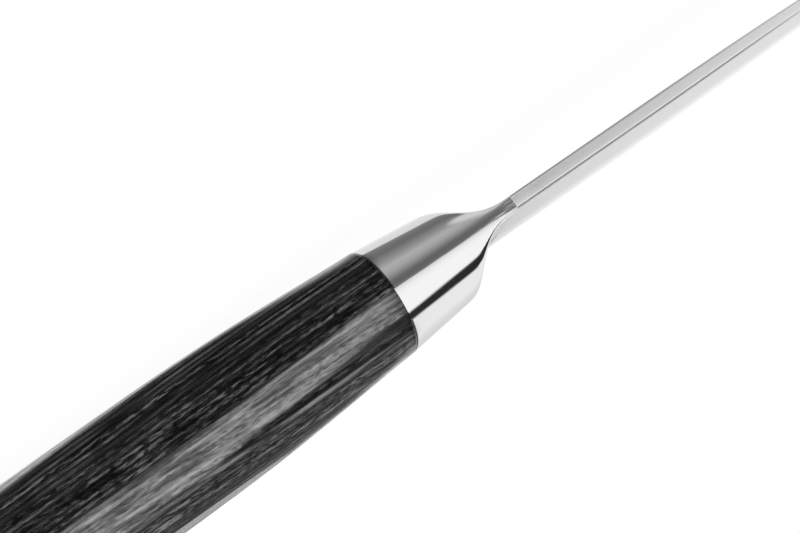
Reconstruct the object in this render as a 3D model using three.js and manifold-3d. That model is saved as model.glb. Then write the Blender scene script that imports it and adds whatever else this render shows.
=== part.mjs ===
// Paring knife with a hidden tang: a ground blade butt-welded to a forged bolster, a stick tang
// brazed into the bolster, and a laminated wood handle drawn up against the bolster by a nut
// under the end cap.
//
// Units are millimetres. The knife lies on its left side: +X runs to the tip, +Y to the spine
// and +Z up out of the right side. While the pieces are shaped, x = 0 is the plane where handle
// and bolster meet and y = 0 is the middle of the handle's height there. The last lines move the
// whole knife so that its origin is the bottom centre of its bounding box.

import * as THREE from 'three';
import { mergeVertices } from 'three/addons/utils/BufferGeometryUtils.js';
import Module from 'manifold-3d';

const wasm = await Module();
wasm.setup();

// Blade
const bladeLength = 90;
const heelHeight = 22;
const spineThickness = 2;
const spineHeight = 7.6;
const spineChamfer = 0.25;
const spineDropStart = 34;
const tipDrop = 7.5;
const bellyStart = 20;
const tipHeight = 0.9;
const tipThickness = 0.8;
const bevelHeight = 1.5;
const bevelHeightShare = 1 / 3;
const bevelThickness = 0.55;
const edgeThickness = 0.12;

// Bolster
const bolsterLength = 20.3;
const bolsterTaper = 1.17;
const shoulderStart = 10.7;
const shoulderRound = 1;
const coveSteepness = 2.7;
const neckFloor = -6;
const neckEase = 1.5;

// Oval where handle and bolster meet, as half sizes
const jointHalfThickness = 7.6;
const jointHalfHeight = 9.5;

// Handle: swell, waist and butt are placed by their distance behind the bolster
const handleLength = 98;
const swellStart = 22;
const swellStartHalfThickness = 8.9;
const swellStartTop = 8;
const swellStartBottom = -13.1;
const swellDistance = 46;
const swellHalfThickness = 9.3;
const swellTop = 5.8;
const swellBottom = -15.8;
const waistDistance = 78;
const waistHalfThickness = 8.7;
const waistTop = 3.6;
const waistBottom = -17;
const buttHalfThickness = 8.8;
const buttTop = 2.9;
const buttBottom = -19;
const flankFullness = 2.3;
const flankFlatThickness = 17.7;

// Tang, and the resin that beds it
const tangAxisHeight = -3.5;
const tangHeight = 6;
const tangThickness = 4;
const tangSocketDepth = 7;
const tangFlatLength = 58;
const rodDiameter = 4;
const rodRoot = 1;
const beddingWallHeight = 1.5;
const beddingWallThickness = 1.1;

// Fastening at the butt
const washerDiameter = 10;
const washerThickness = 1.2;
const nutAcrossFlats = 7;
const nutHeight = 3.2;
const nutSides = 6;
const rodPastNut = 1;
const rodBoreClearance = 0.3;
const threadClearance = 0.1;
const counterboreClearance = 0.25;

// End cap
const capThickness = 7;
const capEdgeRadius = 2.5;
const spigotLength = 2.5;
const spigotEndClearance = 0.4;

// Film of glue or braze on each side of a bonded joint
const bondFilm = 0.1;

// How finely outlines and lengths are divided
const sectionPoints = 48;
const roundSegments = 32;
const straightBladeSteps = 2;
const curvedBladeSteps = 26;
const ovalBolsterSteps = 4;
const shoulderSteps = 8;
const coveSteps = 12;
const handleSteps = 24;
const straightCapSteps = 2;
const roundCapSteps = 5;

// How far a cut or a joined bar runs past the face that it meets, and how close points are merged
const overrun = 1;
const mergeDistance = 1e-4;

const lerp = THREE.MathUtils.lerp;
const smoothstep = THREE.MathUtils.smoothstep;

// Smooth curve through a few [x, value] stations, with the slope at each station taken from its
// neighbours.
function curveThrough(stations) {
  const slopes = stations.map((station, i) => {
    const before = stations[Math.max(i - 1, 0)];
    const after = stations[Math.min(i + 1, stations.length - 1)];
    return (after[1] - before[1]) / (after[0] - before[0]);
  });
  return (x) => {
    let i = 0;
    while (i < stations.length - 2 && x > stations[i + 1][0]) i += 1;
    const [x0, v0] = stations[i];
    const [x1, v1] = stations[i + 1];
    const span = x1 - x0;
    const t = (x - x0) / span;
    const rest = 1 - t;
    return v0 * (1 + 2 * t) * rest * rest + slopes[i] * span * t * rest * rest
      + v1 * t * t * (3 - 2 * t) - slopes[i + 1] * span * t * t * rest;
  };
}

// Keeps the sign of a sine or cosine while raising its size to a power.
function signedPower(value, exponent) {
  return Math.sign(value) * Math.abs(value) ** exponent;
}

// Evenly spaced values from first to last, both included.
function steps(first, last, count) {
  return Array.from({ length: count + 1 }, (_, i) => lerp(first, last, i / count));
}

// Closed skin over a row of rings that run along +X, each a list of points turning from +Y
// towards -Z. Both end rings are closed by a fan round their middle.
function loft(rings) {
  const count = rings[0].length;
  const points = rings.flat();
  const triangles = [];
  for (let r = 0; r < rings.length - 1; r += 1) {
    for (let k = 0; k < count; k += 1) {
      const a = r * count + k;
      const b = r * count + (k + 1) % count;
      triangles.push(a, a + count, b, b, a + count, b + count);
    }
  }
  for (const ring of [rings[0], rings.at(-1)]) {
    const middle = ring.reduce((sum, p) => sum.add(p), new THREE.Vector3()).divideScalar(count);
    const first = ring === rings[0] ? 0 : (rings.length - 1) * count;
    points.push(middle);
    for (let k = 0; k < count; k += 1) {
      const next = first + (k + 1) % count;
      const side = ring === rings[0] ? [first + k, next] : [next, first + k];
      triangles.push(points.length - 1, ...side);
    }
  }
  const geometry = new THREE.BufferGeometry().setFromPoints(points);
  geometry.setIndex(triangles);
  return geometry;
}

function toSolid(geometry) {
  const bare = geometry.clone();
  bare.deleteAttribute('normal');
  bare.deleteAttribute('uv');
  const merged = mergeVertices(bare, mergeDistance);
  return new wasm.Manifold(new wasm.Mesh({
    numProp: 3,
    vertProperties: new Float32Array(merged.attributes.position.array),
    triVerts: new Uint32Array(merged.index.array),
  }));
}

function toGeometry(solid) {
  const mesh = solid.getMesh();
  const geometry = new THREE.BufferGeometry();
  geometry.setAttribute('position', new THREE.BufferAttribute(mesh.vertProperties, 3));
  geometry.setIndex(new THREE.BufferAttribute(mesh.triVerts, 1));
  return geometry;
}

// Block between two x positions, centred on the tang's axis.
function tangBlock(xFrom, xTo, height, thickness) {
  const block = new THREE.BoxGeometry(xTo - xFrom, height, thickness);
  return block.translate((xFrom + xTo) / 2, tangAxisHeight, 0);
}

// Round or polygonal bar between two x positions on the tang's axis.
function tangBar(xFrom, xTo, diameter, sides) {
  const bar = new THREE.CylinderGeometry(diameter / 2, diameter / 2, xTo - xFrom, sides);
  bar.rotateZ(-Math.PI / 2);
  return bar.translate((xFrom + xTo) / 2, tangAxisHeight, 0);
}

function piece(name, geometry, material) {
  const mesh = new THREE.Mesh(geometry, new THREE.MeshStandardMaterial(material));
  mesh.name = name;
  return mesh;
}

const weldFace = bolsterLength;
const heelEdge = spineHeight - heelHeight;
const bladeFlatHeight = heelHeight - spineChamfer - bevelHeight;

// Half thickness of the blade's flat-ground side at a height: full at the spine, thin at the bevel.
function bladeHalfThickness(y) {
  const share = (spineHeight - spineChamfer - y) / bladeFlatHeight;
  return lerp(spineThickness, bevelThickness, THREE.MathUtils.clamp(share, 0, 1)) / 2;
}

// Blade: straight wedge behind, then the spine falls and the belly rises to a point.
function bladeRing(along) {
  const drop = tipDrop * Math.max(0, (along - spineDropStart) / (bladeLength - spineDropStart)) ** 2;
  const rise = Math.max(0, (along - bellyStart) / (bladeLength - bellyStart)) ** 2;
  const top = spineHeight - drop;
  const bottom = heelEdge + (heelHeight - tipDrop - tipHeight) * rise;
  const height = top - bottom;
  const taper = smoothstep(along, bellyStart, bladeLength);
  const thickness = lerp(spineThickness, tipThickness, taper);
  const chamfer = spineChamfer * thickness / spineThickness;
  const shoulder = bottom + Math.min(bevelHeight, bevelHeightShare * height);
  const side = [
    [top, thickness / 2 - chamfer],
    [top - chamfer, thickness / 2],
    [shoulder, bevelThickness / 2],
    [bottom, edgeThickness / 2],
  ];
  const left = side.map(([y, z]) => new THREE.Vector3(weldFace + along, y, -z));
  const right = side.map(([y, z]) => new THREE.Vector3(weldFace + along, y, z));
  return [...left, ...right.reverse()];
}

function makeBlade() {
  const straight = steps(0, bellyStart, straightBladeSteps);
  const curved = steps(bellyStart, bladeLength, curvedBladeSteps).slice(1);
  return piece('blade', loft([...straight, ...curved].map(bladeRing)), {
    color: 0xc3c5c7, roughness: 0.32, metalness: 1,
  });
}

// Angle of each point round a section, from +Y towards -Z, with a flat centred on every side.
const sectionAngles = steps(0, 2 * Math.PI, sectionPoints).slice(1).map((a) => a - Math.PI / sectionPoints);

// Smaller of two sizes, with the corner rounded off where they differ by less than the blend.
function smoothMin(a, b, blend) {
  const near = Math.max(blend - Math.abs(a - b), 0);
  return Math.min(a, b) - near * near / (4 * blend);
}

// Bolster: a tapering oval with a rounded shoulder, where both sides are ground away in a cove that
// flattens out into a neck as thin as the blade.
function bolsterRing(x) {
  const ease = (1 - x / bolsterLength) ** neckEase;
  const top = lerp(spineHeight, jointHalfHeight, ease);
  const bottom = lerp(neckFloor, -jointHalfHeight, ease);
  const ovalHalf = jointHalfThickness - bolsterTaper * x / shoulderStart;
  const shoulderHalf = jointHalfThickness - bolsterTaper;
  const cove = ((bolsterLength - x) / (bolsterLength - shoulderStart)) ** coveSteepness;
  return sectionAngles.map((angle) => {
    const y = (top + bottom) / 2 + (top - bottom) / 2 * Math.cos(angle);
    const coveHalf = lerp(bladeHalfThickness(y), shoulderHalf, cove);
    const ground = smoothMin(ovalHalf, coveHalf, shoulderRound);
    return new THREE.Vector3(x, y, THREE.MathUtils.clamp(-ovalHalf * Math.sin(angle), -ground, ground));
  });
}

function makeBolster() {
  const stations = [
    ...steps(0, shoulderStart - shoulderRound, ovalBolsterSteps),
    ...steps(shoulderStart - shoulderRound, shoulderStart + shoulderRound, shoulderSteps).slice(1),
    ...steps(shoulderStart + shoulderRound, bolsterLength, coveSteps).slice(1),
  ];
  const socket = tangBlock(
    -bondFilm,
    tangSocketDepth + bondFilm,
    tangHeight + 2 * bondFilm,
    tangThickness + 2 * bondFilm,
  );
  const body = toSolid(loft(stations.map(bolsterRing))).subtract(toSolid(socket));
  return piece('bolster', toGeometry(body), { color: 0xc9cbcd, roughness: 0.12, metalness: 1 });
}

// Handle outline, as distance behind the bolster, shared by the wood and the end cap.
const buttDistance = handleLength + capThickness;
const handleHalfThickness = curveThrough([
  [0, jointHalfThickness],
  [swellStart, swellStartHalfThickness],
  [swellDistance, swellHalfThickness],
  [waistDistance, waistHalfThickness],
  [buttDistance, buttHalfThickness],
]);
const handleTop = curveThrough([
  [0, jointHalfHeight],
  [swellStart, swellStartTop],
  [swellDistance, swellTop],
  [waistDistance, waistTop],
  [buttDistance, buttTop],
]);
const handleBottom = curveThrough([
  [0, -jointHalfHeight],
  [swellStart, swellStartBottom],
  [swellDistance, swellBottom],
  [waistDistance, waistBottom],
  [buttDistance, buttBottom],
]);

// Section of the handle: an ellipse at the bolster that soon gets fuller corners, with the swell of
// both flanks sanded flat, so that the knife lies still. The inset draws it in on every side.
function handleRing(distance, inset = 0) {
  const top = handleTop(distance) - inset;
  const bottom = handleBottom(distance) + inset;
  const half = handleHalfThickness(distance) - inset;
  const flat = flankFlatThickness / 2 - inset;
  const exponent = 2 / lerp(2, flankFullness, smoothstep(distance, 0, swellStart));
  return sectionAngles.map((angle) => new THREE.Vector3(
    -distance,
    (top + bottom) / 2 + (top - bottom) / 2 * signedPower(Math.cos(angle), exponent),
    THREE.MathUtils.clamp(-half * signedPower(Math.sin(angle), exponent), -flat, flat),
  ));
}

const slotHeight = tangHeight + 2 * beddingWallHeight;
const slotThickness = tangThickness + 2 * beddingWallThickness;
const slotEnd = -tangFlatLength - bondFilm;
const counterboreDiameter = washerDiameter + 2 * counterboreClearance;
const counterboreDepth = washerThickness + nutHeight + rodPastNut + spigotEndClearance + spigotLength;
const counterboreFloor = -handleLength + counterboreDepth;
const rodEnd = counterboreFloor - washerThickness - nutHeight - rodPastNut;
const rodHoleDiameter = rodDiameter + 2 * rodBoreClearance;

function makeHandle() {
  const rings = steps(handleLength, 0, handleSteps).map((distance) => handleRing(distance));
  const slot = tangBlock(slotEnd, overrun, slotHeight, slotThickness);
  const rodHole = tangBar(
    counterboreFloor - overrun,
    slotEnd + overrun,
    rodHoleDiameter,
    roundSegments,
  );
  const counterbore = tangBar(
    -handleLength - overrun,
    counterboreFloor,
    counterboreDiameter,
    roundSegments,
  );
  const body = toSolid(loft(rings))
    .subtract(toSolid(slot))
    .subtract(toSolid(rodHole))
    .subtract(toSolid(counterbore));
  return piece('handle', toGeometry(body), { color: 0x2b2a29, roughness: 0.42, metalness: 0 });
}

// Tang: a flat bar seated in the bolster, reduced to a rod that the nut pulls on.
function makeTang() {
  const flat = tangBlock(-tangFlatLength, tangSocketDepth, tangHeight, tangThickness);
  const rod = tangBar(rodEnd, -tangFlatLength + rodRoot, rodDiameter, roundSegments);
  const body = toSolid(flat).add(toSolid(rod));
  return piece('tang', toGeometry(body), { color: 0x8f9295, roughness: 0.45, metalness: 1 });
}

// Resin cast round the flat of the tang, filling the slot in the wood up to the root of the rod.
function makeBedding() {
  const rootEnd = -tangFlatLength + rodRoot + bondFilm;
  const outer = tangBlock(rootEnd, 0, slotHeight - 2 * bondFilm, slotThickness - 2 * bondFilm);
  const inner = tangBlock(
    rootEnd - overrun,
    overrun,
    tangHeight + 2 * bondFilm,
    tangThickness + 2 * bondFilm,
  );
  const body = toSolid(outer).subtract(toSolid(inner));
  return piece('tang_bedding', toGeometry(body), { color: 0x6b5a3a, roughness: 0.35, metalness: 0 });
}

function makeWasher() {
  const face = counterboreFloor;
  const disc = tangBar(face - washerThickness, face, washerDiameter, roundSegments);
  const hole = tangBar(
    face - washerThickness - overrun,
    face + overrun,
    rodHoleDiameter,
    roundSegments,
  );
  const body = toSolid(disc).subtract(toSolid(hole));
  return piece('tang_washer', toGeometry(body), { color: 0xa9acae, roughness: 0.4, metalness: 1 });
}

// Hexagon nut, with a plain hole in place of the thread.
function makeNut() {
  const face = counterboreFloor - washerThickness;
  const acrossCorners = nutAcrossFlats / Math.cos(Math.PI / nutSides);
  const hexagon = tangBar(face - nutHeight, face, acrossCorners, nutSides);
  const hole = tangBar(
    face - nutHeight - overrun,
    face + overrun,
    rodDiameter + 2 * threadClearance,
    roundSegments,
  );
  const body = toSolid(hexagon).subtract(toSolid(hole));
  return piece('tang_nut', toGeometry(body), { color: 0xa2a4a6, roughness: 0.38, metalness: 1 });
}

// End cap: carries the handle's outline on to a rounded butt, with a spigot glued in the counterbore.
function makeEndCap() {
  const roundStart = buttDistance - capEdgeRadius;
  const rounding = steps(0, Math.PI / 2, roundCapSteps).slice(1).map((turn) => handleRing(
    roundStart + capEdgeRadius * Math.sin(turn),
    capEdgeRadius * (1 - Math.cos(turn)),
  ));
  const straight = steps(handleLength, roundStart, straightCapSteps).map((distance) => handleRing(distance));
  const rings = [...straight, ...rounding].reverse();
  const spigot = tangBar(
    -handleLength - overrun,
    -handleLength + spigotLength,
    counterboreDiameter - 2 * counterboreClearance,
    roundSegments,
  );
  const body = toSolid(loft(rings)).add(toSolid(spigot));
  return piece('end_cap', toGeometry(body), { color: 0xc6c8ca, roughness: 0.15, metalness: 1 });
}

const knife = new THREE.Group();
knife.name = 'paring_knife';
knife.add(
  makeBlade(),
  makeBolster(),
  makeTang(),
  makeHandle(),
  makeBedding(),
  makeWasher(),
  makeNut(),
  makeEndCap(),
);

const bounds = new THREE.Box3().setFromObject(knife, true);
const middle = bounds.getCenter(new THREE.Vector3());
knife.position.set(-middle.x, -middle.y, -bounds.min.z);
knife.updateMatrixWorld(true);

export default knife;
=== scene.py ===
import math

import bpy
import numpy as np
from mathutils import Matrix, Vector


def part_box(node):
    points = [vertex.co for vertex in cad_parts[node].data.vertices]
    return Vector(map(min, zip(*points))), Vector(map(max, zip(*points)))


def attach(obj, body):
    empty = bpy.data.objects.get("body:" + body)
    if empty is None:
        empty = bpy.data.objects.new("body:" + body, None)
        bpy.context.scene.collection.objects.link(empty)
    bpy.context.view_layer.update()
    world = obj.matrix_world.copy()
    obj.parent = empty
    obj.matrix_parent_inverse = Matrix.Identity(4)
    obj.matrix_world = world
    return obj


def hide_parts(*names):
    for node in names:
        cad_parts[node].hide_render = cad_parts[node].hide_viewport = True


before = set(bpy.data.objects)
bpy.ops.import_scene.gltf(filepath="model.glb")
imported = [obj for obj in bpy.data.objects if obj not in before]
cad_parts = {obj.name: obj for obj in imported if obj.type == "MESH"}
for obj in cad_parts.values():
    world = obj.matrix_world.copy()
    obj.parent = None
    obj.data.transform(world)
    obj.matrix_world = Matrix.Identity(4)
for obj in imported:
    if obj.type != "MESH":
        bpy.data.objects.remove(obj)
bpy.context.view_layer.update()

# Bolster: a forged and polished piece of stainless steel that carries the blade and the tang. Its
# oval back is flush with the handle. In front of a rounded shoulder both sides are ground away in a
# cove, down to a neck as thin as the blade, with the blade welded to its end.

bolster_low, bolster_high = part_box("bolster")
joint_x = bolster_low[0]
weld_x = bolster_high[0]
knife_z = (bolster_low[2] + bolster_high[2]) / 2
bolster_length = weld_x - joint_x

joint_half_thickness = 0.0076
joint_half_height = 0.00948
bolster_taper = 0.00126
shoulder_start = 0.0115
cove_steepness = 2.8
shoulder_power = 9
neck_power = 5
neck_floor = -0.006
neck_ease = 1.5
bolster_ring_count = 200

# The crown is flattened over this length before the weld, to this share, in this band below the top.
crown_fade = 0.003
crown_left = 0.3
crown_band = (0.0001, 0.0004)

# The blade's section at its back end, which the neck runs into.
spine_height = 0.0076
spine_thickness = 0.002
spine_corner = 0.00025
heel_height = 0.022
bevel_height = 0.0015
bevel_thickness = 0.00055
knife_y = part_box("blade")[1][1] - spine_height

# The tang's section, and its socket in the bolster's back.
tang_height = 0.006
tang_thickness = 0.004
tang_socket_depth = 0.007
tang_y = -0.0035
bond_film = 0.0001

points_around = 240
widest_crease = math.radians(80)
sharp_angle = math.radians(35)

# Rings of the rounded edge at a joint, each with its distance from the joint and its inset.
joint_round = 0.00006
joint_edge = joint_round * np.array([[0, 1], [0.3, 0.3], [1, 0]])
past_joint_edge = 4 * joint_round

# Where the finish changes: the ground sides of the neck by distance from the joint and by depth
# below the top, the streaks by distance from the joint, and the top that carries the lines.
satin_start = (0.0135, 0.0155)
satin_depth = (0.0015, 0.004)
streak_start = (0.0172, 0.0200)
neck_top = (0.0003, 0.0008)
ground_roughness = 0.5
faint_lines = 0.03


def lerp(low, high, share):
    """Value part of the way from low to high."""
    return low + (high - low) * share


def smoothstep(value, low, high):
    """Rises from 0 at low to 1 at high, level at both ends: 3t^2 - 2t^3."""
    t = np.clip((value - low) / (high - low), 0, 1)
    return t * t * (3 - 2 * t)


def blade_half_thickness(y):
    """Half thickness of the flat-ground blade at a height: a straight taper from spine to bevel."""
    flat_height = heel_height - spine_corner - bevel_height
    share = (spine_height - spine_corner - y) / flat_height
    return lerp(spine_thickness, bevel_thickness, np.clip(share, 0, 1)) / 2


def ring_angles(upper_crease, lower_crease):
    """Angles round each ring, from the spine over the left side, that keep close to both creases.

    A sixth of the points runs from the top to the upper crease, a sixth on to the lower crease and a
    sixth to the bottom, closer together at the creases by a sine. The right side mirrors the left.
    """
    sixth = points_around // 6
    step = (np.arange(sixth) + 0.5) / sixth
    towards = np.sin(np.pi / 2 * step)
    between = (1 - np.cos(np.pi * step)) / 2
    upper = upper_crease * towards
    side = lerp(upper_crease, np.pi - lower_crease, between)
    lower = np.pi - lower_crease * towards[::-1]
    half = np.concatenate([upper, side, lower], axis=1)
    return np.concatenate([half, 2 * np.pi - half[:, ::-1]], axis=1)


def bolster_rings(x, inset):
    """Rings at distances x in front of the joint, as an array [ring, point, xyz], and their angles.

    The height follows a cosine round each ring between a top and a bottom line that ease towards the
    neck, and the width follows a sine, for a tapering oval. Both sides are ground away where they pass
    the cove, whose width falls from the oval's to the blade's by a power of the distance to the weld.
    With oval and ground for the two widths, oval / (1 + (oval / ground)^p)^(1 / p) follows the smaller
    one and rounds the shoulder and the creases, more softly as p falls towards the neck. The crown
    flattens towards the weld. The inset draws each ring in.
    """
    x = x[:, None]
    inset = inset[:, None]
    ease = (1 - x / bolster_length) ** neck_ease
    top = lerp(spine_height, joint_half_height, ease) - inset
    bottom = lerp(neck_floor, -joint_half_height, ease) + inset
    oval_half = joint_half_thickness - inset - bolster_taper * x / shoulder_start
    shoulder_half = joint_half_thickness - bolster_taper
    cove = ((bolster_length - x) / (bolster_length - shoulder_start)) ** cove_steepness

    def ground_half(y):
        """Half width that the grinding leaves at a height."""
        return lerp(blade_half_thickness(y), shoulder_half, cove)

    widest_sine = math.sin(widest_crease)
    creases = [np.arcsin(np.minimum(ground_half(y) / oval_half, widest_sine)) for y in (top, bottom)]
    angle = ring_angles(*creases)
    y = (top + bottom) / 2 + (top - bottom) / 2 * np.cos(angle)
    close_to_weld = smoothstep(x, bolster_length - crown_fade, bolster_length)
    on_crown = 1 - smoothstep(top - y, *crown_band)
    y = top - (top - y) * lerp(1, crown_left, close_to_weld * on_crown)
    oval = oval_half * np.abs(np.sin(angle))
    power = lerp(shoulder_power, neck_power, smoothstep(x, shoulder_start, bolster_length))
    z = oval / (1 + (oval / ground_half(y)) ** power) ** (1 / power)
    return np.stack([x + 0 * y, y, -z * np.sign(np.sin(angle))], axis=-1), angle


def block_ring(x, height, thickness, angle):
    """Ring on a rectangle round the tang's axis: each ray from the axis stops at the nearest side."""
    reach = np.minimum(height / 2 / np.abs(np.cos(angle)), thickness / 2 / np.abs(np.sin(angle)))
    return np.stack([0 * angle + x, tang_y + reach * np.cos(angle), -reach * np.sin(angle)], axis=-1)


def skin(name, rings, closed=False):
    """Object over rings indexed [ring, point, xyz], in knife coordinates.

    Neighbouring points of neighbouring rings make quads. The rings wrap round to the first when
    closed, and otherwise a flat face closes each end.
    """
    ring_count, point_count, _ = rings.shape
    index = np.arange(ring_count * point_count).reshape(ring_count, point_count)
    if closed:
        index = np.vstack([index, index[:1]])
    following = np.roll(index, -1, axis=1)
    quads = np.stack([index[:-1], index[1:], following[1:], following[:-1]], axis=-1)
    faces = quads.reshape(-1, 4).tolist()
    if not closed:
        faces += [index[0].tolist(), index[-1][::-1].tolist()]
    points = rings.reshape(-1, 3) + (joint_x, knife_y, knife_z)
    mesh = bpy.data.meshes.new(name)
    mesh.from_pydata(points.tolist(), [], faces)
    mesh.shade_smooth()
    mesh.set_sharp_from_angle(angle=sharp_angle)
    mesh.validate()
    piece = bpy.data.objects.new(name, mesh)
    bpy.context.scene.collection.objects.link(piece)
    return piece


def set_attribute(piece, name, values):
    """Stores one value for each point of a mesh, for its material to read."""
    layer = piece.data.attributes.new(name, "FLOAT", "POINT")
    layer.data.foreach_set("value", values.ravel())


def attribute(tree, name):
    """Socket of a value that a mesh's points carry."""
    node = tree.nodes.new("ShaderNodeAttribute")
    node.attribute_name = name
    return node.outputs["Fac"]


def object_axis(tree, axis):
    """Socket of one axis of the Object coordinates."""
    coordinates = tree.nodes.new("ShaderNodeTexCoord")
    axes = tree.nodes.new("ShaderNodeSeparateXYZ")
    tree.links.new(axes.inputs["Vector"], coordinates.outputs["Object"])
    return axes.outputs[axis]


def stretched_noise(tree, scale, detail):
    """Noise on Object coordinates, stretched by one scale for each axis, in features per metre."""
    coordinates = tree.nodes.new("ShaderNodeTexCoord")
    mapping = tree.nodes.new("ShaderNodeMapping")
    mapping.inputs["Scale"].default_value = scale
    noise = tree.nodes.new("ShaderNodeTexNoise")
    noise.inputs["Scale"].default_value = 1
    noise.inputs["Detail"].default_value = detail
    tree.links.new(mapping.inputs["Vector"], coordinates.outputs["Object"])
    tree.links.new(noise.inputs["Vector"], mapping.outputs["Vector"])
    return noise.outputs["Fac"]


def remap(tree, value, source, target):
    """Maps a source range of a value onto a target range, clamped, and returns the result's socket."""
    node = tree.nodes.new("ShaderNodeMapRange")
    node.inputs["From Min"].default_value = source[0]
    node.inputs["From Max"].default_value = source[1]
    node.inputs["To Min"].default_value = target[0]
    node.inputs["To Max"].default_value = target[1]
    tree.links.new(node.inputs["Value"], value)
    return node.outputs["Result"]


def calculate(tree, operation, *values):
    """Math node on sockets or plain numbers, and its result's socket."""
    node = tree.nodes.new("ShaderNodeMath")
    node.operation = operation
    for socket, value in zip(node.inputs, values):
        if isinstance(value, (int, float)):
            socket.default_value = value
        else:
            tree.links.new(socket, value)
    return node.outputs["Value"]


def mix_towards(tree, value, number, share):
    """Socket's value mixed with a plain number by the share of another socket."""
    node = tree.nodes.new("ShaderNodeMix")
    node.inputs["B"].default_value = number
    tree.links.new(node.inputs["Factor"], share)
    tree.links.new(node.inputs["A"], value)
    return node.outputs["Result"]


def bump(tree, height, distance):
    """Normal over a height whose unit is a distance in metres."""
    node = tree.nodes.new("ShaderNodeBump")
    node.inputs["Strength"].default_value = 1
    node.inputs["Distance"].default_value = distance
    tree.links.new(node.inputs["Height"], height)
    return node.outputs["Normal"]


def new_material(name):
    """Material with its node tree and its Principled BSDF."""
    material = bpy.data.materials.new(name)
    material.use_nodes = True
    return material, material.node_tree, material.node_tree.nodes["Principled BSDF"]


def make_steel_finish():
    """Node group: fine lines left by grinding and polishing along the knife, and a faint haze.

    Lines is a height for a bump. Roughness swings by Spread round Base, with lines and haze mixed.
    """
    group = bpy.data.node_groups.new("steel_finish", "ShaderNodeTree")
    for name in ("Base", "Spread"):
        group.interface.new_socket(name, in_out="INPUT", socket_type="NodeSocketFloat")
    for name in ("Lines", "Roughness"):
        group.interface.new_socket(name, in_out="OUTPUT", socket_type="NodeSocketFloat")
    inputs = group.nodes.new("NodeGroupInput")
    outputs = group.nodes.new("NodeGroupOutput")
    lines = stretched_noise(group, scale=(45, 2600, 2600), detail=6)
    haze = stretched_noise(group, scale=(260, 420, 420), detail=5)
    usual_sum = (0.7, 1.3)
    swing = remap(group, calculate(group, "ADD", lines, haze), usual_sum, (-1, 1))
    spread = inputs.outputs["Spread"]
    roughness = calculate(group, "MULTIPLY_ADD", swing, spread, inputs.outputs["Base"])
    group.links.new(outputs.inputs["Lines"], lines)
    group.links.new(outputs.inputs["Roughness"], roughness)
    return group


steel_finish = make_steel_finish()


def steel(name, colour, roughness, spread, line_depth):
    """Bare steel of one colour, with its polish lines as bump and as a swing in roughness."""
    material, tree, shader = new_material(name)
    finish = tree.nodes.new("ShaderNodeGroup")
    finish.node_tree = steel_finish
    finish.inputs["Base"].default_value = roughness
    finish.inputs["Spread"].default_value = spread
    shader.inputs["Base Color"].default_value = (*colour, 1)
    shader.inputs["Metallic"].default_value = 1
    tree.links.new(shader.inputs["Roughness"], finish.outputs["Roughness"])
    tree.links.new(shader.inputs["Normal"], bump(tree, finish.outputs["Lines"], line_depth))
    return material


def make_bolster_steel():
    """Polished steel whose lines deepen along the top of the neck, with ground sides and streaks."""
    material = steel(
        "bolster_steel",
        colour=(0.68, 0.68, 0.69),
        roughness=0.07,
        spread=0.02,
        line_depth=0.00004,
    )
    tree = material.node_tree
    along_cove = (joint_x + shoulder_start, weld_x)
    neck_lines = remap(tree, object_axis(tree, "X"), along_cove, (faint_lines, 1))
    top_lines = remap(tree, attribute(tree, "below_top"), neck_top, (1, faint_lines))
    line_strength = calculate(tree, "MULTIPLY", neck_lines, top_lines)
    tree.links.new(tree.nodes["Bump"].inputs["Strength"], line_strength)
    grinding = stretched_noise(tree, scale=(140, 4600, 4600), detail=1)
    streaks = remap(tree, grinding, (0.42, 0.6), (0.1, 0.65))
    streaks = calculate(tree, "MULTIPLY", attribute(tree, "near_weld"), streaks)
    ground_share = calculate(tree, "MAXIMUM", attribute(tree, "satin"), streaks)
    roughness = tree.nodes["Principled BSDF"].inputs["Roughness"]
    polished = roughness.links[0].from_socket
    tree.links.new(roughness, mix_towards(tree, polished, ground_roughness, ground_share))
    return material


bolster_x = np.concatenate([
    joint_edge[:, 0],
    np.linspace(past_joint_edge, bolster_length, bolster_ring_count),
])
bolster_inset = np.concatenate([joint_edge[:, 1], np.zeros(bolster_ring_count)])
bolster_skin, bolster_angles = bolster_rings(bolster_x, bolster_inset)
socket_size = (tang_height + 2 * bond_film, tang_thickness + 2 * bond_film)
socket = np.stack([
    block_ring(tang_socket_depth + bond_film, *socket_size, bolster_angles[0]),
    block_ring(0, *socket_size, bolster_angles[0]),
])
bolster = skin("bolster_body", np.concatenate([socket, bolster_skin]))
bolster_along = bolster_skin[:, :, 0]
below_top = bolster_skin[:, :, 1].max(axis=1, keepdims=True) - bolster_skin[:, :, 1]
bolster_marks = {
    "below_top": below_top,
    "satin": smoothstep(bolster_along, *satin_start) * smoothstep(below_top, *satin_depth),
    "near_weld": smoothstep(bolster_along, *streak_start) * (1 - smoothstep(below_top, *neck_top)),
}
for mark, values in bolster_marks.items():
    set_attribute(bolster, mark, np.concatenate([np.zeros(socket.shape[:2]), values]))
bolster.data.materials.append(make_bolster_steel())
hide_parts("bolster")
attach(bolster, "root")

# Tang: a flat bar of plain steel brazed into the bolster's socket and turned down to a rod behind.
# It is hidden in the handle, and keeps the grey skin of rolled bar.


def dress(node, material):
    """Gives a CAD node that keeps its shape another material."""
    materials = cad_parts[node].data.materials
    materials.clear()
    materials.append(material)


dress("tang", steel(
    "tang_steel",
    colour=(0.42, 0.42, 0.43),
    roughness=0.42,
    spread=0.1,
    line_depth=0.000004,
))

# Blade: stainless strip, flat-ground on both sides from a square spine to a fine bevel, with the
# edge curving up and the spine falling to the point. Its back end is welded to the bolster's neck.

blade_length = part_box("blade")[1][0] - weld_x
spine_drop_start = 0.034
tip_drop = 0.0075
belly_start = 0.020
tip_height = 0.0009
tip_thickness = 0.0008
edge_thickness = 0.00012
blade_ring_count = 220

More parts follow.
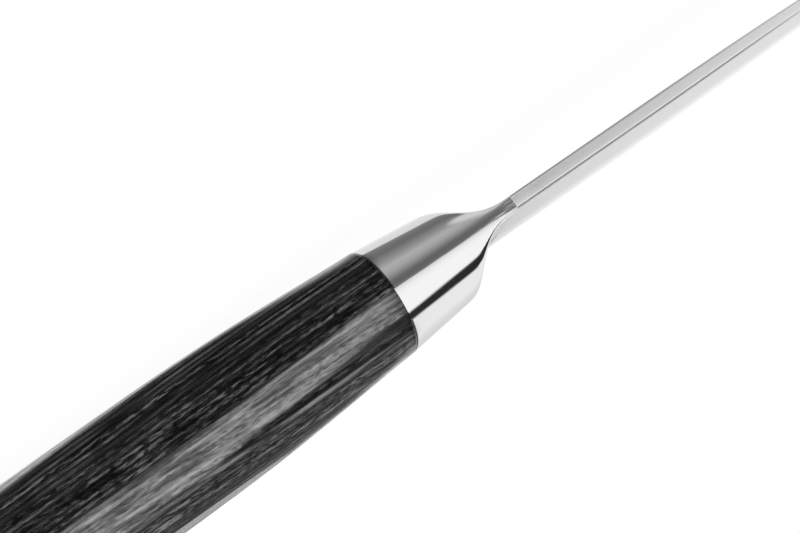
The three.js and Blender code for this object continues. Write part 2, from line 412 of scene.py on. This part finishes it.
# The spine is crowned, and its edges roll over past a share of its half width. Over the settling
# distances from the weld the roll grows to its full size and the edges lose some of their polish.
spine_crown = 0.00005
spine_roll = 0.00003
roll_start = 0.85
roll_at_weld = 0.3
polish_left = 0.4
settling = (0.002, 0.020)

blade_colour = (0.74, 0.74, 0.75)
# Painted highlight: a paler base colour on the lower side towards the cutting edge, on the bevel and on
# the spine near the weld.
painted_highlight_colour = (0.92, 0.92, 0.925)
polished_edge_roughness = 0.32
bevel_polish = 0.7
painted_highlight_start = 0.58
painted_weld_highlight = 0.4
painted_weld_highlight_fade = (0.0012, 0.0050)


def blade_rings(along):
    """Rings of the blade at distances along it, as an array [ring, point, xyz].

    Squares of the distance past two starting points drop the spine and raise the edge. Each side is
    a crowned half spine, a chamfer, a straight flat and a straight bevel, mirrored for the other. The
    second array gives the polish of each point, from satin to mirror, and the third its painted
    highlight, a paler colour that grows towards the edge and, on the spine, towards the weld.
    """
    along = along[:, None]
    past_drop = np.maximum(0, (along - spine_drop_start) / (blade_length - spine_drop_start))
    past_belly = np.maximum(0, (along - belly_start) / (blade_length - belly_start))
    top = spine_height - tip_drop * past_drop ** 2
    bottom = spine_height - heel_height + (heel_height - tip_drop - tip_height) * past_belly ** 2
    height = top - bottom
    taper = smoothstep(along, belly_start, blade_length)
    half = lerp(spine_thickness, tip_thickness, taper) / 2
    corner = spine_corner * 2 * half / spine_thickness
    shoulder = bottom + np.minimum(bevel_height, height / 3)
    shoulder_half = bevel_thickness / 2
    settled = smoothstep(along, *settling)

    # Shares of the way over the half spine, the chamfer, the flat and the bevel.
    across = np.array([0.1, 0.25, 0.4, 0.55, 0.7, 0.8, 0.85, 0.86, 0.93, 0.99, 1])
    chamfer = np.array([0.06, 0.5, 0.94, 1])
    down = np.concatenate([[0.004, 0.02], np.linspace(0.05, 0.95, 30), [0.985, 0.998]])
    bevel = np.array([0, 0.1, 0.3, 0.5, 0.7, 0.9, 1])
    roll = spine_roll * lerp(roll_at_weld, 1, settled)
    crown = spine_crown * across ** 2 + roll * np.maximum(0, (across - roll_start) / (1 - roll_start))
    chamfer_top = top - crown[:, -1:]
    y = np.concatenate([
        top - crown,
        chamfer_top - corner * chamfer,
        lerp(chamfer_top - corner, shoulder, down),
        lerp(shoulder, bottom, bevel),
    ], axis=1)
    z = np.concatenate([
        (half - corner) * across,
        lerp(half - corner, half, chamfer),
        lerp(half, shoulder_half, down),
        lerp(shoulder_half, edge_thickness / 2, bevel) + 0 * top,
    ], axis=1)

    def both_sides(spine, chamfers, flat, bevels):
        """Values from spine to edge, one for all of a chamfer or bevel, and their mirror image."""
        values = np.concatenate([spine, chamfers + 0 * chamfer, flat, bevels + 0 * bevel])
        return np.concatenate([values, values[::-1]])

    # Painted highlight on the spine near the weld.
    near_weld = painted_weld_highlight * (1 - smoothstep(along, *painted_weld_highlight_fade))
    on_spine = both_sides(1 + 0 * across, 0, 0 * down, 0)
    polish = both_sides(1.0 * (across > roll_start), 1, 0 * down, bevel_polish)
    # Painted highlight: the side pales towards the edge, and the bevel is pale all over.
    painted_highlight = both_sides(0 * across, 0, smoothstep(down, painted_highlight_start, 1), 1)
    polish = polish * lerp(1, polish_left, settled)
    painted_highlight = painted_highlight + near_weld * on_spine
    y = np.concatenate([y, y[:, ::-1]], axis=1)
    z = np.concatenate([-z, z[:, ::-1]], axis=1)
    return np.stack([bolster_length + along + 0 * y, y, z], axis=-1), polish, painted_highlight


def ramp(tree, value, low, high):
    """Colour between two others by a value from 0 to 1."""
    node = tree.nodes.new("ShaderNodeValToRGB")
    node.color_ramp.elements[0].color = (*low, 1)
    node.color_ramp.elements[1].color = (*high, 1)
    tree.links.new(node.inputs["Fac"], value)
    return node.outputs["Color"]


def make_blade_steel():
    """Satin steel with smoother spine edges, and painted highlight: paler towards the edge and weld."""
    material = steel("blade_steel", blade_colour, roughness=0.5, spread=0.06, line_depth=0.000003)
    tree = material.node_tree
    shader = tree.nodes["Principled BSDF"]
    satin = shader.inputs["Roughness"].links[0].from_socket
    roughness = mix_towards(tree, satin, polished_edge_roughness, attribute(tree, "polish"))
    colour = ramp(tree, attribute(tree, "painted_highlight"), blade_colour, painted_highlight_colour)
    tree.links.new(shader.inputs["Roughness"], roughness)
    tree.links.new(shader.inputs["Base Color"], colour)
    return material


blade_along = blade_length * np.linspace(0, 1, blade_ring_count)
blade_points, blade_polish, blade_painted_highlight = blade_rings(blade_along)
blade = skin("blade_body", blade_points)
set_attribute(blade, "polish", blade_polish)
set_attribute(blade, "painted_highlight", blade_painted_highlight)
blade.data.materials.append(make_blade_steel())
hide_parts("blade")
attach(blade, "root")

# Handle: hardwood veneers, dyed black and grey, pressed with resin into one block and shaped over
# a slot for the tang. It is sanded smooth and rubbed to a satin shine, flush with the bolster.

handle_low, handle_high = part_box("handle")
handle_length = handle_high[0] - handle_low[0]
cap_thickness = handle_low[0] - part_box("end_cap")[0][0]
butt_distance = handle_length + cap_thickness
flank_fullness = 2.3
flank_flat = 0.00885
swell_start = 0.022
handle_stations = np.array([0, swell_start, 0.046, 0.078, butt_distance])
half_thicknesses = np.array([joint_half_thickness, 0.0089, 0.0093, 0.0087, 0.0088])
tops = np.array([joint_half_height, 0.008, 0.0058, 0.0036, 0.0029])
bottoms = np.array([-joint_half_height, -0.0131, -0.0158, -0.017, -0.01896])
handle_ring_count = 330

# Angles round each ring of the handle, closer together at its top and bottom than at its flanks.
handle_gather = 0.4
handle_polar = 2 * np.pi * (np.arange(points_around) + 0.5) / points_around
handle_turn = handle_polar - handle_gather * np.sin(2 * handle_polar)

# The slot for the tang and its bedding, the hole for its rod and the counterbore in the butt.
tang_flat_length = 0.058
bedding_height = 0.003
bedding_thickness = 0.0022
slot_height = tang_height + bedding_height
slot_thickness = tang_thickness + bedding_thickness
rod_hole = 0.0046
counterbore = 0.0105
counterbore_depth = 0.0083


def signed_power(value, exponent):
    """Size of a sine or cosine raised to a power, with its sign kept."""
    return np.sign(value) * np.abs(value) ** exponent


def curve_through(stations, values, x):
    """Cubic Hermite curve through stations, with slopes taken from each one's neighbours."""
    last = len(stations) - 1
    before = np.maximum(np.arange(last + 1) - 1, 0)
    after = np.minimum(np.arange(last + 1) + 1, last)
    slopes = (values[after] - values[before]) / (stations[after] - stations[before])
    i = np.clip(np.searchsorted(stations, x) - 1, 0, last - 1)
    span = stations[i + 1] - stations[i]
    t = (x - stations[i]) / span
    rest = 1 - t
    start = values[i] * (1 + 2 * t) * rest ** 2 + slopes[i] * span * t * rest ** 2
    end = values[i + 1] * t ** 2 * (3 - 2 * t) - slopes[i + 1] * span * t ** 2 * rest
    return start + end


def handle_rings(distance, inset):
    """Rings at distances behind the bolster, as an array [ring, point, xyz].

    Each ring is a superellipse between smooth top, bottom and side lines. Its exponent goes from an
    ellipse's 2 at the bolster to the fullness of the flanks, and the swell of both flanks is cut off
    flat. The inset draws each ring in.
    """
    distance = distance[:, None]
    inset = inset[:, None]
    top = curve_through(handle_stations, tops, distance) - inset
    bottom = curve_through(handle_stations, bottoms, distance) + inset
    half = curve_through(handle_stations, half_thicknesses, distance) - inset
    exponent = 2 / lerp(2, flank_fullness, smoothstep(distance, 0, swell_start))
    y = (top + bottom) / 2 + (top - bottom) / 2 * signed_power(np.cos(handle_turn), exponent)
    flat = flank_flat - inset
    z = np.clip(-half * signed_power(np.sin(handle_turn), exponent), -flat, flat)
    return np.stack([-distance + 0 * y, y, z], axis=-1)


def round_ring(x, diameter):
    """Ring on a circle round the tang's axis."""
    y = tang_y + diameter / 2 * np.cos(handle_turn)
    z = -diameter / 2 * np.sin(handle_turn)
    return np.stack([0 * handle_turn + x, y, z], axis=-1)


def product(tree, start, rows):
    """Start times several sockets, each first mapped from its own range onto a range of shares."""
    result = start
    for socket, source, target in rows:
        result = calculate(tree, "MULTIPLY", result, remap(tree, socket, source, target))
    return result


def make_wood():
    """Dyed laminate: straight lines of grey wood fibre, broken into flecks, on black veneers.

    The veneers stand side by side across the handle, and each has its own tone. Long lines follow
    them, and flecks break most of the lines. Pores between the fibres are slightly sunk and take less
    lacquer, and so does the end at the bolster.
    """
    veneers_per_metre = 1300
    waver_in_veneers = 2
    pale_side = (knife_z + 0.003, knife_z + 0.006)
    # Painted shade: the wood is darkened over this distance before the joint.
    painted_joint_shade = (joint_x - 0.0007, joint_x)
    dull_end = (joint_x - 0.0028, joint_x)
    black_dye = (0.0018, 0.0018, 0.0018)
    grey_dye = (0.20, 0.198, 0.195)
    relief_depth = 0.00001
    line_relief = 6
    streak_relief = 4
    material, tree, shader = new_material("dyed_laminate")
    along = object_axis(tree, "X")
    across = object_axis(tree, "Z")
    waver = stretched_noise(tree, scale=(14, 90, 90), detail=2)
    waver = calculate(tree, "MULTIPLY", waver, waver_in_veneers)
    layer = calculate(tree, "MULTIPLY_ADD", across, veneers_per_metre, waver)
    veneer = calculate(tree, "FLOOR", layer)

    def chance(seed):
        """Number from 0 to 1 that is the same all over a veneer."""
        noise = tree.nodes.new("ShaderNodeTexWhiteNoise")
        noise.noise_dimensions = "1D"
        tree.links.new(noise.inputs["W"], calculate(tree, "ADD", veneer, seed))
        return noise.outputs["Value"]

    line = stretched_noise(tree, scale=(14, 1500, 1500), detail=3)
    fleck = stretched_noise(tree, scale=(800, 3300, 3300), detail=1)
    fade = stretched_noise(tree, scale=(70, 1300, 1300), detail=1)
    streak = stretched_noise(tree, scale=(45, 2600, 2600), detail=2)
    fibre = stretched_noise(tree, scale=(120, 6500, 6500), detail=2)

    unbroken = remap(tree, chance(0.3), (0.4, 0.9), (0, 0.85))
    flecks = calculate(tree, "MAXIMUM", remap(tree, fleck, (0.38, 0.58), (0.08, 1)), unbroken)
    grey = product(tree, flecks, [
        # Dark seams between the veneers.
        (calculate(tree, "PINGPONG", layer, 0.5), (0.06, 0.4), (0.1, 1)),
        # Long lines of fibre, and stretches where they fade.
        (line, (0.38, 0.58), (0.15, 1)),
        (fade, (0.36, 0.6), (0.3, 1)),
        # The tone of each veneer, and the single fibres in it.
        (chance(0.7), (0, 1), (0.4, 1)),
        (fibre, (0.38, 0.6), (0.6, 1.25)),
        # Lighter on the knife's right (upper) side from a height above its middle, and painted shade: a
        # dark line at the joint.
        (across, pale_side, (1, 1.8)),
        (along, painted_joint_shade, (1, 0.15)),
    ])
    tree.links.new(shader.inputs["Base Color"], ramp(tree, grey, black_dye, grey_dye))
    tree.links.new(shader.inputs["Roughness"], remap(tree, fibre, (0.35, 0.65), (0.2, 0.13)))
    shader.inputs["IOR"].default_value = 1.35

    relief = calculate(tree, "MULTIPLY_ADD", streak, streak_relief, fibre)
    relief = calculate(tree, "MULTIPLY_ADD", line, line_relief, relief)
    tree.links.new(shader.inputs["Normal"], bump(tree, relief, relief_depth))

    lacquer = product(tree, 1, [
        (line, (0.38, 0.56), (0.3, 1)),
        (streak, (0.36, 0.56), (0.5, 1)),
        (fleck, (0.36, 0.52), (0.55, 1)),
        (along, dull_end, (1, 0.3)),
    ])
    tree.links.new(shader.inputs["Coat Weight"], lacquer)
    shader.inputs["Coat Roughness"].default_value = 0.12
    shader.inputs["Coat IOR"].default_value = 2.5
    return material


handle_distance = np.concatenate([
    np.linspace(handle_length, past_joint_edge, handle_ring_count),
    joint_edge[::-1, 0],
])
handle_inset = np.concatenate([np.zeros(handle_ring_count), joint_edge[::-1, 1]])
slot_end = -tang_flat_length - bond_film
counterbore_floor = -handle_length + counterbore_depth
bore = np.stack([
    block_ring(0, slot_height, slot_thickness, handle_turn),
    block_ring(slot_end, slot_height, slot_thickness, handle_turn),
    round_ring(slot_end, rod_hole),
    round_ring(counterbore_floor, rod_hole),
    round_ring(counterbore_floor, counterbore),
    round_ring(-handle_length, counterbore),
])
handle_skin = handle_rings(handle_distance, handle_inset)
handle = skin("handle_block", np.concatenate([handle_skin, bore]), closed=True)
handle.data.materials.append(make_wood())
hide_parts("handle")
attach(handle, "root")

# Bedding: resin poured round the tang before the handle is pushed home. It sets amber and cloudy
# in the slot, where nothing of it shows on the finished knife.

dark_amber = (0.2, 0.14, 0.06)
light_amber = (0.36, 0.28, 0.15)
cloud_range = (0.3, 0.7)
resin, resin_tree, resin_shader = new_material("bedding_resin")
cloud = stretched_noise(resin_tree, scale=(180, 180, 180), detail=5)
cloud_share = remap(resin_tree, cloud, cloud_range, (0, 1))
resin_roughness = remap(resin_tree, cloud, cloud_range, (0.3, 0.45))
amber = ramp(resin_tree, cloud_share, dark_amber, light_amber)
resin_tree.links.new(resin_shader.inputs["Base Color"], amber)
resin_tree.links.new(resin_shader.inputs["Roughness"], resin_roughness)
dress("tang_bedding", resin)

# Washer and nut: plain hardware in the counterbore, which draws the handle up against the bolster
# along the tang's rod. The end cap hides both.

fastener_steel = steel(
    "fastener_steel",
    colour=(0.5, 0.5, 0.51),
    roughness=0.34,
    spread=0.1,
    line_depth=0.000003,
)
dress("tang_washer", fastener_steel)
dress("tang_nut", fastener_steel)

# End cap: polished steel that carries the handle's outline on to a rounded butt. A spigot on its
# front is glued into the counterbore.

cap_edge_radius = 0.0025
spigot_length = 0.0025
spigot_diameter = 0.010
cap_round_steps = 16
cap_side_steps = 9

rounding = np.radians(np.linspace(90, 0, cap_round_steps))
round_start = butt_distance - cap_edge_radius
cap_distance = np.concatenate([
    round_start + cap_edge_radius * np.sin(rounding),
    np.linspace(round_start, handle_length + past_joint_edge, cap_side_steps + 1)[1:],
    handle_length + joint_edge[::-1, 0],
])
cap_inset = np.concatenate([
    cap_edge_radius * (1 - np.cos(rounding)),
    np.zeros(cap_side_steps),
    joint_edge[::-1, 1],
])
spigot = np.stack([
    round_ring(-handle_length, spigot_diameter),
    round_ring(-handle_length + spigot_length, spigot_diameter),
])
end_cap = skin("end_cap_body", np.concatenate([handle_rings(cap_distance, cap_inset), spigot]))
end_cap.data.materials.append(steel(
    "polished_steel",
    colour=(0.68, 0.68, 0.69),
    roughness=0.07,
    spread=0.02,
    line_depth=0.0000006,
))
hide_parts("end_cap")
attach(end_cap, "root")

# Studio: a white floor just below the knife, in an even white surround, with a softbox on the spine's
# side. Six cards are there for reflections only, each a grid of points that carry its brightness: on
# the floor on both sides of the knife, on a low wall, over the softbox's lower part and overhead.

floor_reach = 3.0
floor_z = -0.0004
floor_albedo = 0.9
white_share = 0.96

softbox_low = math.radians(5)
softbox_high = math.radians(69)
softbox_reach = 0.6
softbox_width = 1.4
softbox_x = 0.2
softbox_radiance = 0.15
softbox_bright = 1.33

surround_bright = 1.18
surround_dim = 0.8
surround_fade = (-0.95, -0.55)


def card(name, points, faces):
    """Sheet of flat faces through corner points."""
    mesh = bpy.data.meshes.new(name)
    mesh.from_pydata(points, [], faces)
    panel = bpy.data.objects.new(name, mesh)
    bpy.context.scene.collection.objects.link(panel)
    return panel


def make_glow():
    """Plain light of the brightness that a card's points carry."""
    material, tree, shader = new_material("glow")
    tree.nodes.remove(shader)
    emission = tree.nodes.new("ShaderNodeEmission")
    tree.links.new(emission.inputs["Strength"], attribute(tree, "level"))
    tree.links.new(tree.nodes["Material Output"].inputs["Surface"], emission.outputs["Emission"])
    return material


glow = make_glow()


def reflection_card(name, x, y, z, level):
    """Card over a grid of points, bright by a level at each, that only reflections in the knife see."""
    x, y, z, level = np.broadcast_arrays(x, y, z, level)
    index = np.arange(x.size).reshape(x.shape)
    faces = np.stack([index[:-1, :-1], index[1:, :-1], index[1:, 1:], index[:-1, 1:]], axis=-1)
    points = np.stack([x, y, z], axis=-1)
    panel = card(name, points.reshape(-1, 3).tolist(), faces.reshape(-1, 4).tolist())
    set_attribute(panel, "level", level)
    panel.data.materials.append(glow)
    panel.visible_camera = False
    panel.visible_diffuse = False
    panel.visible_transmission = False
    panel.visible_volume_scatter = False
    panel.visible_shadow = False


def make_floor_paper():
    """White paper: a matt surface that keeps shadows, lifted to plain white for rays that look at it."""
    material, tree, shader = new_material("floor_paper")
    shader.inputs["Base Color"].default_value = (floor_albedo, floor_albedo, floor_albedo, 1)
    shader.inputs["Roughness"].default_value = 0.9
    shader.inputs["Specular IOR Level"].default_value = 0
    path = tree.nodes.new("ShaderNodeLightPath")
    seen = calculate(tree, "MAXIMUM", path.outputs["Is Camera Ray"], path.outputs["Is Glossy Ray"])
    seen = calculate(tree, "MAXIMUM", seen, path.outputs["Is Transmission Ray"])
    white = tree.nodes.new("ShaderNodeEmission")
    mix = tree.nodes.new("ShaderNodeMixShader")
    tree.links.new(mix.inputs["Fac"], calculate(tree, "MULTIPLY", seen, white_share))
    tree.links.new(mix.inputs[1], shader.outputs["BSDF"])
    tree.links.new(mix.inputs[2], white.outputs["Emission"])
    tree.links.new(tree.nodes["Material Output"].inputs["Surface"], mix.outputs["Shader"])
    return material


floor_sides = [(-1, -1), (1, -1), (1, 1), (-1, 1)]
floor_corners = [(floor_reach * x, floor_reach * y, floor_z) for x, y in floor_sides]
floor = card("floor", floor_corners, [(0, 1, 2, 3)])
floor.data.materials.append(make_floor_paper())

# The card on the floor on the spine's side, from an edge beside the knife to a low wall far off. Its
# bands of grey show on top of the bolster, and it is nearly black beside the handle.
flag_z = -0.0002
flag_far = 0.450
flag_x = np.concatenate([
    [-0.3, -0.06, -0.03],
    np.linspace(-0.012, 0.05, 125),
    [0.07, 0.1, 0.15, 0.3, 0.7],
])[:, None]
flag_edge = np.interp(flag_x, [-0.060, 0.0005, 0.001], [0.0002, 0.0008, 0.0042])
flag_steps = np.concatenate([np.linspace(0, 0.03, 80), np.geomspace(0.031, flag_far, 40)])
flag_y = flag_edge + (flag_far - flag_edge) / flag_far * flag_steps
band_y = [0.0042, 0.0050, 0.0072, 0.0105, 0.0140, 0.0185, 0.0260, 0.0400, 0.0900]
band_level = [0.40, 0.24, 0.19, 0.36, 0.57, 0.50, 0.33, 0.19, 0.145]
handle_gain = 0.12
bolster_gain = 1.06
joint_fade = (0.0012, 0.0035)
joint_slant = 0.25
joint_slant_y = 0.008
past_joint = smoothstep(flag_x - joint_slant * (flag_y - joint_slant_y), *joint_fade)
flag_level = np.interp(flag_y, band_y, band_level) * lerp(handle_gain, bolster_gain, past_joint)

# A lighter patch beside the front of the blade.
tip_gain = 2.5
tip_fade_x = (0.045, 0.1)
tip_fade_y = (0.08, 0.16)
tip_light = smoothstep(flag_x, *tip_fade_x) * (1 - smoothstep(flag_y, *tip_fade_y))
flag_level = flag_level * lerp(1, tip_gain, tip_light)

# A light patch for the cove, bounded by a slanting line and by darker corners at weld and shoulder.
cove_bright = 0.88
cove_fade_x = (0.0122, 0.0162)
cove_fade_y = (0.0125, 0.0185)
cove_slant = 1.1
cove_slant_x = 0.018
weld_fade_x = (0.0215, 0.024)
weld_fade_y = (0.012, 0.02)
shoulder_fade_x = (0.0165, 0.0190)
shoulder_fade_y = (0.0075, 0.0110)
cove_light = smoothstep(flag_x, *cove_fade_x)
cove_light = cove_light * (1 - smoothstep(flag_y - cove_slant * (flag_x - cove_slant_x), *cove_fade_y))
weld_dark = smoothstep(flag_x, *weld_fade_x) * (1 - smoothstep(flag_y, *weld_fade_y))
cove_light = cove_light * (1 - weld_dark)
shoulder_dark = (1 - smoothstep(flag_x, *shoulder_fade_x)) * (1 - smoothstep(flag_y, *shoulder_fade_y))
cove_light = cove_light * (1 - shoulder_dark)
flag_level = np.maximum(flag_level, cove_bright * cove_light)

# A light rim beside the handle, narrower towards the butt.
rim_bright = 0.9
rim_start = 0.0002
rim_reach = np.interp(flag_x, [-0.06, -0.03, -0.012, 0], [0.0012, 0.0016, 0.0034, 0.006])
handle_rim = (1 - past_joint) * (1 - smoothstep(flag_y, rim_start, rim_reach))
flag_level = np.maximum(flag_level, rim_bright * handle_rim)
reflection_card("floor_flag", joint_x + flag_x, knife_y + flag_y, flag_z, flag_level)

# The low wall at the floor card's far edge, up to the softbox.
wall_gain = 1.4
wall_z = np.array([flag_z, knife_z + flag_far * math.tan(softbox_low)])
wall_level = wall_gain * flag_level[:, -1:]
reflection_card("wall_flag", joint_x + flag_x, knife_y + flag_far, wall_z, wall_level)

# The lower part of the softbox, which dims towards its edge.
skirt_y = 0.440
skirt_x = np.array([-0.5, 0.9])[:, None]
skirt_z = knife_z + skirt_y * np.tan(np.radians([5, 10, 18, 30]))
skirt_level = np.array([0.86, 1.10, 1.25, softbox_bright])
reflection_card("softbox_skirt", skirt_x, knife_y + skirt_y, skirt_z, skirt_level)

# The card above the handle, dark near the knife and white far off on the edge's side. Its front edge
# slants forward and fades into the surround.
shade_height = 0.060
shade_x = np.array([-0.25, 0.019, 0.0255, 0.026])[:, None]
shade_y = np.array([-1.0, -0.52, -0.495, -0.468, -0.35, -0.2, -0.08, -0.02, 0.012])
shade_dark = np.array([1.0, 1.0, 0.95, 0.30, 0.30, 0.28, 0.16, 0.10, 0.12])
shade_fade = (0.019, 0.0255)
shade_slant = 0.2
shade_slant_y = -0.05
shade_z = knife_z + shade_height
shade_shift = shade_slant * np.maximum(0, shade_slant_y - shade_y)
shade_level = lerp(shade_dark, surround_bright, smoothstep(shade_x, *shade_fade))
reflection_card("handle_flag", joint_x + shade_x + shade_shift, knife_y + shade_y, shade_z, shade_level)

# The grey card on the floor on the edge's side of the handle, for its right rim.
edge_y = np.array([-0.6, -0.3, -0.15, -0.07, -0.03, -0.02])
edge_slant = 0.28
edge_x = np.array([-0.25, -0.02, -0.005, 0.0])[:, None] - edge_slant * edge_y
edge_level = np.array([0.35, 0.35, 0.5, 0.9])[:, None]
reflection_card("edge_flag", joint_x + edge_x, knife_y + edge_y, flag_z, edge_level)

# The narrow black strip above the knife, for the dark line along the bolster and the spine's edge.
# Each row is a place along the knife with the strip's two edges there, in millimetres.
gap_rows = 0.001 * np.array([
    [-60, 3, 20],
    [-28, 5.5, 23],
    [-15, 13, 34],
    [0, 14.6, 30],
    [8.5, 16, 33],
    [12, 13, 29],
    [20, 9, 26],
    [28, 7.5, 25],
    [31, 7.5, 26],
    [34.4, 8, 28.5],
    [39.5, 7.5, 32.5],
    [43, 9, 35],
    [46, 7, 38],
    [50, 4, 44],
    [57, 0, 48],
    [70, -3, 50],
    [110, -5, 50],
])
gap_black = 0.03
gap_soft = 0.0025
gap_below_shade = 0.001
gap_x, gap_low, gap_high = np.hsplit(gap_rows, 3)
gap_y = np.hstack([gap_low - gap_soft, gap_low + gap_soft, gap_high - gap_soft, gap_high + gap_soft])
gap_outside = np.interp(gap_x, shade_fade, [shade_dark[-1], surround_bright])
gap_inside = np.full_like(gap_x, gap_black)
gap_beyond = np.full_like(gap_x, softbox_bright)
gap_level = np.hstack([gap_outside, gap_inside, gap_inside, gap_beyond])
reflection_card("gap_flag", joint_x + gap_x, knife_y + gap_y, shade_z - gap_below_shade, gap_level)

# The softbox faces the knife from the middle of its span of angles above the floor.
softbox_middle = (softbox_low + softbox_high) / 2
softbox_half = (softbox_high - softbox_low) / 2
softbox_distance = softbox_reach * math.cos(softbox_half)
softbox = bpy.data.objects.new("softbox", bpy.data.lights.new("softbox", "AREA"))
softbox.data.shape = "RECTANGLE"
softbox.data.size = softbox_width
softbox.data.size_y = 2 * softbox_reach * math.sin(softbox_half)
softbox.data.energy = softbox_radiance * math.pi * softbox.data.size * softbox.data.size_y
softbox.visible_camera = False
softbox_place = Vector((
    softbox_x,
    knife_y + softbox_distance * math.cos(softbox_middle),
    knife_z + softbox_distance * math.sin(softbox_middle),
))
knife_axis = Vector((1, 0, 0))
towards_knife = Vector((0, -math.cos(softbox_middle), -math.sin(softbox_middle)))
softbox_turn = Matrix((knife_axis, towards_knife.cross(knife_axis), -towards_knife)).transposed()
softbox.matrix_world = Matrix.Translation(softbox_place) @ softbox_turn.to_4x4()
bpy.context.scene.collection.objects.link(softbox)

# The surround is dimmer behind the cutting edge, and plain white for the camera.
surround = bpy.data.worlds.new("surround")
surround.use_nodes = True
surround_tree = surround.node_tree
surround_place = surround_tree.nodes.new("ShaderNodeTexCoord")
surround_axes = surround_tree.nodes.new("ShaderNodeSeparateXYZ")
surround_path = surround_tree.nodes.new("ShaderNodeLightPath")
surround_tree.links.new(surround_axes.inputs["Vector"], surround_place.outputs["Generated"])
surround_range = (surround_dim, surround_bright)
surround_level = remap(surround_tree, surround_axes.outputs["Y"], surround_fade, surround_range)
surround_level = mix_towards(surround_tree, surround_level, 1, surround_path.outputs["Is Camera Ray"])
backdrop = surround_tree.nodes["Background"]
backdrop.inputs["Color"].default_value = (1, 1, 1, 1)
surround_tree.links.new(backdrop.inputs["Strength"], surround_level)
bpy.context.scene.world = surround

# Camera: above the spine, a little to the knife's right and towards its handle, rolled so that the
# knife climbs from the lower left. The offsets place the joint in the frame.

camera_distance = 0.28851
camera_side = math.radians(8.54)
camera_back = math.radians(15.84)
camera_roll = math.radians(34.56)
camera_right_offset = 0.00247
camera_up_offset = 0.00485

outward = Vector((
    -math.sin(camera_back),
    math.cos(camera_back) * math.cos(camera_side),
    math.cos(camera_back) * math.sin(camera_side),
))
along_knife = (knife_axis - outward.x * outward).normalized()
across_knife = along_knife.cross(outward)
camera_right = math.cos(camera_roll) * along_knife + math.sin(camera_roll) * across_knife
camera_up = outward.cross(camera_right)
camera_place = Vector((joint_x, knife_y, knife_z)) + camera_distance * outward
camera_place += camera_right_offset * camera_right + camera_up_offset * camera_up

camera = bpy.data.objects.new("camera", bpy.data.cameras.new("camera"))
camera.data.lens = 100
camera.data.sensor_width = 36
camera.data.clip_start = 0.01
camera_turn = Matrix((camera_right, camera_up, outward)).transposed()
camera.matrix_world = Matrix.Translation(camera_place) @ camera_turn.to_4x4()
bpy.context.scene.collection.objects.link(camera)
bpy.context.scene.camera = camera

bpy.context.scene.view_settings.view_transform = "Standard"
